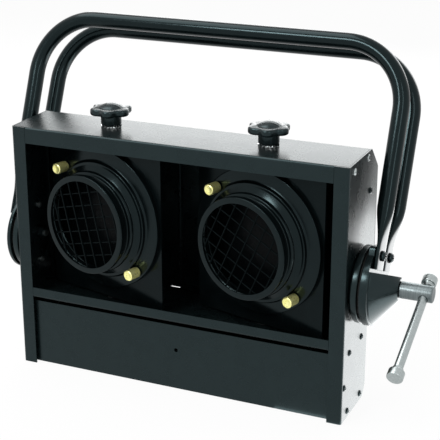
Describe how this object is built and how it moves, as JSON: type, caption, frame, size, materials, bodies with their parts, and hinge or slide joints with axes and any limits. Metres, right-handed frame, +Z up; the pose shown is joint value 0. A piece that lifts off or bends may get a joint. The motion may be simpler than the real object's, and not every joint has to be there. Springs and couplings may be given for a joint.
{
  "type": "audience blinder",
  "caption": "Stage audience blinder: panning lamp heads with snoots and wire grids in a folded sheet housing, on a tilting double tube yoke with a clamp screw and sliding bar.",
  "frame": {"origin": "under the middle of the housing's base, on the plane it stands on", "axes": "+X to the right across the front seen from the front, +Y from the front to the back, +Z up; the lamps look towards -Y"},
  "size_m": [0.4758, 0.2258, 0.3736],
  "materials": {
    "black_powder_coat": "satin black powder coat on folded and pressed steel",
    "bright_steel": "zinc plated steel, machined",
    "brass": "plain brass, bright",
    "black_plastic": "moulded black plastic",
    "ceramic": "unglazed white ceramic",
    "fibre_washer": "dark pressed fibre",
    "lamp_glass": "glass sealed beam lamp with a silvered bowl"
  },
  "bodies": {
    "housing": {"side_plate_left": "black_powder_coat", "side_plate_right": "black_powder_coat", "top_cover": "black_powder_coat", "shelf": "black_powder_coat", "front_panel": "black_powder_coat", "bottom_tray": "black_powder_coat", "wiring_cover": "black_powder_coat", "rear_cover": "black_powder_coat", "terminal_block": "ceramic", "earth_stud": "brass", "cable_gland": "black_plastic", "gland_nut": "black_plastic", "friction_disc_left": "black_powder_coat", "friction_disc_right": "black_powder_coat", "clamp_nut": "bright_steel", "pivot_bolt_left": "bright_steel", "pivot_nut_left": "bright_steel"},
    "yoke": {"hoop_front": "black_powder_coat", "hoop_rear": "black_powder_coat", "hub_left": "black_powder_coat", "hub_right": "black_powder_coat", "friction_washer_left": "fibre_washer", "friction_washer_right": "fibre_washer", "bracket_bolt_left_front": "bright_steel", "bracket_bolt_left_rear": "bright_steel", "bracket_bolt_right_front": "bright_steel", "bracket_bolt_right_rear": "bright_steel"},
    "clamp": {"clamp_screw": "bright_steel"},
    "bar": {"tommy_bar": "bright_steel", "tommy_cap_upper": "bright_steel", "tommy_cap_lower": "bright_steel"},
    "head_left": {"head_plate_left": "black_powder_coat", "snoot_left": "black_powder_coat", "wire_grid_left": "black_powder_coat", "lamp_left": "lamp_glass", "lamp_cup_left": "bright_steel", "lamp_socket_left": "ceramic", "pan_bolt_left": "bright_steel", "pan_washer_upper_left": "fibre_washer", "pan_washer_lower_left": "fibre_washer"},
    "knob_left": {"star_knob_left": "black_plastic", "lock_washer_left": "bright_steel"},
    "nut_left_upper": {"thumb_nut_left_upper": "brass"},
    "nut_left_lower": {"thumb_nut_left_lower": "brass"},
    "head_right": {"head_plate_right": "black_powder_coat", "snoot_right": "black_powder_coat", "wire_grid_right": "black_powder_coat", "lamp_right": "lamp_glass", "lamp_cup_right": "bright_steel", "lamp_socket_right": "ceramic", "pan_bolt_right": "bright_steel", "pan_washer_upper_right": "fibre_washer", "pan_washer_lower_right": "fibre_washer"},
    "knob_right": {"star_knob_right": "black_plastic", "lock_washer_right": "bright_steel"},
    "nut_right_upper": {"thumb_nut_right_upper": "brass"},
    "nut_right_lower": {"thumb_nut_right_lower": "brass"}
  },
  "joints": [
    {"name": "yoke_tilt", "type": "hinge", "parent": "housing", "child": "yoke", "pos_m": [0, 0.0045, 0.1383], "axis": [1, 0, 0], "continuous": true},
    {"name": "clamp_turn", "type": "hinge", "parent": "housing", "child": "clamp", "pos_m": [0, 0.0045, 0.1383], "axis": [1, 0, 0], "range_deg": [0, 270]},
    {"name": "bar_slide", "type": "slide", "parent": "clamp", "child": "bar", "axis": [0, 0.9041, 0.4274], "range_m": [0, 0.0883]},
    {"name": "pan_left", "type": "hinge", "parent": "housing", "child": "head_left", "pos_m": [-0.088, 0.001, 0.1745], "axis": [0, 0, 1], "range_deg": [-4, 32]},
    {"name": "knob_turn_left", "type": "hinge", "parent": "head_left", "child": "knob_left", "pos_m": [-0.088, 0.001, 0.28], "axis": [0, 0, 1], "range_deg": [0, 270]},
    {"name": "nut_left_upper_turn", "type": "hinge", "parent": "head_left", "child": "nut_left_upper", "pos_m": [-0.13525, 0.01278, 0.2232], "axis": [-0.2419, -0.9703, 0], "continuous": true},
    {"name": "nut_left_lower_turn", "type": "hinge", "parent": "head_left", "child": "nut_left_lower", "pos_m": [-0.04075, -0.01078, 0.1258], "axis": [-0.2419, -0.9703, 0], "continuous": true},
    {"name": "pan_right", "type": "hinge", "parent": "housing", "child": "head_right", "pos_m": [0.088, 0.001, 0.1745], "axis": [0, 0, 1], "range_deg": [-4, 32]},
    {"name": "knob_turn_right", "type": "hinge", "parent": "head_right", "child": "knob_right", "pos_m": [0.088, 0.001, 0.28], "axis": [0, 0, 1], "range_deg": [0, 270]},
    {"name": "nut_right_upper_turn", "type": "hinge", "parent": "head_right", "child": "nut_right_upper", "pos_m": [0.04075, 0.01278, 0.2232], "axis": [-0.2419, -0.9703, 0], "continuous": true},
    {"name": "nut_right_lower_turn", "type": "hinge", "parent": "head_right", "child": "nut_right_lower", "pos_m": [0.13525, -0.01078, 0.1258], "axis": [-0.2419, -0.9703, 0], "continuous": true}
  ]
}
